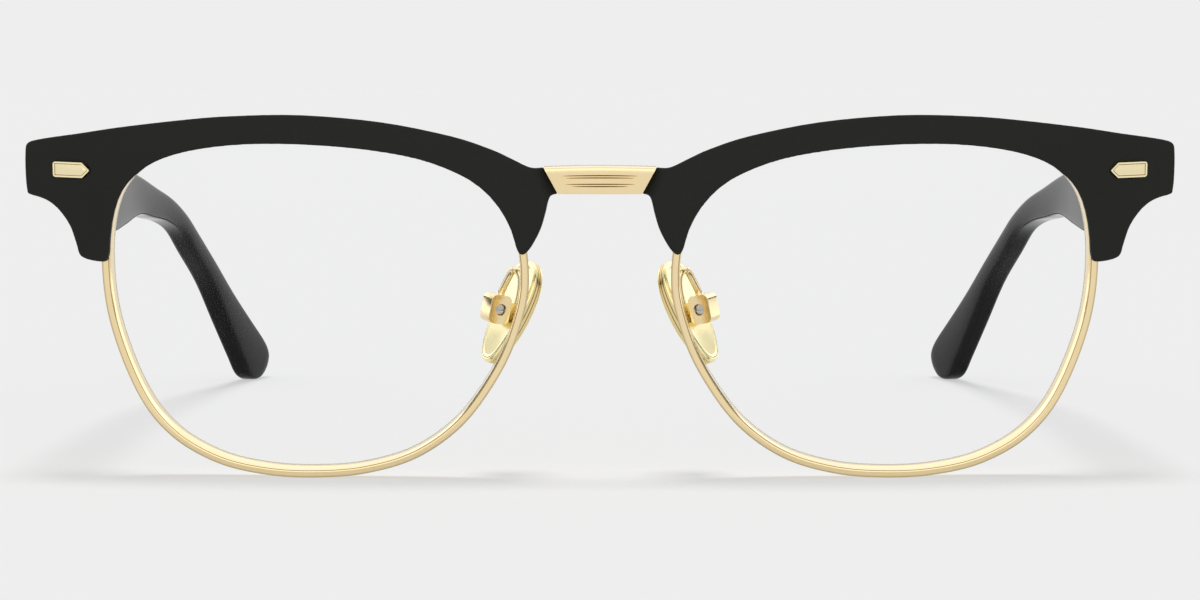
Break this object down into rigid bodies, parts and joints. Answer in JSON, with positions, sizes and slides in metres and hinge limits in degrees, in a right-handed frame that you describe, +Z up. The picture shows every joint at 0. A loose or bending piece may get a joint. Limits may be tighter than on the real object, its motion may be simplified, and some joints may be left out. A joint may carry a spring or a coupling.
{
  "type": "eyeglass frame",
  "caption": "Browline eyeglass frame with black acetate brows, gold wire rims, folding temples, adjustable nose pads and clear lenses.",
  "frame": {"origin": "on the floor, midway across the width, midway between the front of the brows and the back of the temples, temples open", "axes": "+X towards the wearer's left, +Y from the brows to the temple tips, +Z up; the front leans forward as the frame stands on its rims and temple tips"},
  "size_m": [0.142, 0.1474, 0.045],
  "materials": {
    "brow_acetate": "matte black acetate",
    "temple_acetate": "polished black acetate",
    "gold_metal": "polished pale gold plating",
    "steel": "bare screw and wire steel",
    "clear_lens": "clear demonstration lens",
    "pad_gold": "satin pale gold plating on a light metal plate"
  },
  "bodies": {
    "front": {"brow_right": "brow_acetate", "brow_left": "brow_acetate", "rim_right": "gold_metal", "rim_left": "gold_metal", "closing_block_right": "gold_metal", "closing_block_left": "gold_metal", "rim_screw_right": "steel", "rim_screw_left": "steel", "lens_right": "clear_lens", "lens_left": "clear_lens", "bridge": "gold_metal", "brow_screw_right": "steel", "brow_screw_left": "steel", "plaque_right": "gold_metal", "plaque_left": "gold_metal", "pad_arm_right": "gold_metal", "pad_arm_left": "gold_metal", "pad_box_right": "gold_metal", "pad_box_left": "gold_metal", "pad_screw_right": "steel", "pad_screw_left": "steel", "front_hinge_right": "gold_metal", "front_hinge_left": "gold_metal", "hinge_screw_right": "steel", "hinge_screw_left": "steel"},
    "temple_right_body": {"temple_right": "temple_acetate", "temple_core_right": "steel", "temple_hinge_right": "gold_metal", "hinge_rivets_right": "gold_metal"},
    "temple_left_body": {"temple_left": "temple_acetate", "temple_core_left": "steel", "temple_hinge_left": "gold_metal", "hinge_rivets_left": "gold_metal"},
    "nose_pad_right_body": {"nose_pad_right": "pad_gold", "pad_insert_right": "gold_metal"},
    "nose_pad_left_body": {"nose_pad_left": "pad_gold", "pad_insert_left": "gold_metal"}
  },
  "joints": [
    {"name": "right_temple_fold", "type": "hinge", "parent": "front", "child": "temple_right_body", "pos_m": [-0.0642, -0.06016, 0.03863], "axis": [0, 0.1021, -0.9948], "range_deg": [0, 88]},
    {"name": "left_temple_fold", "type": "hinge", "parent": "front", "child": "temple_left_body", "pos_m": [0.0642, -0.06016, 0.03863], "axis": [0, -0.1021, 0.9948], "range_deg": [0, 82]},
    {"name": "right_pad_rock", "type": "hinge", "parent": "front", "child": "nose_pad_right_body", "pos_m": [-0.01295, -0.06443, 0.02086], "axis": [-0.454, 0.8863, 0.091], "range_deg": [-8, 8]},
    {"name": "left_pad_rock", "type": "hinge", "parent": "front", "child": "nose_pad_left_body", "pos_m": [0.01295, -0.06443, 0.02086], "axis": [0.454, 0.8863, 0.091], "range_deg": [-8, 8]}
  ]
}
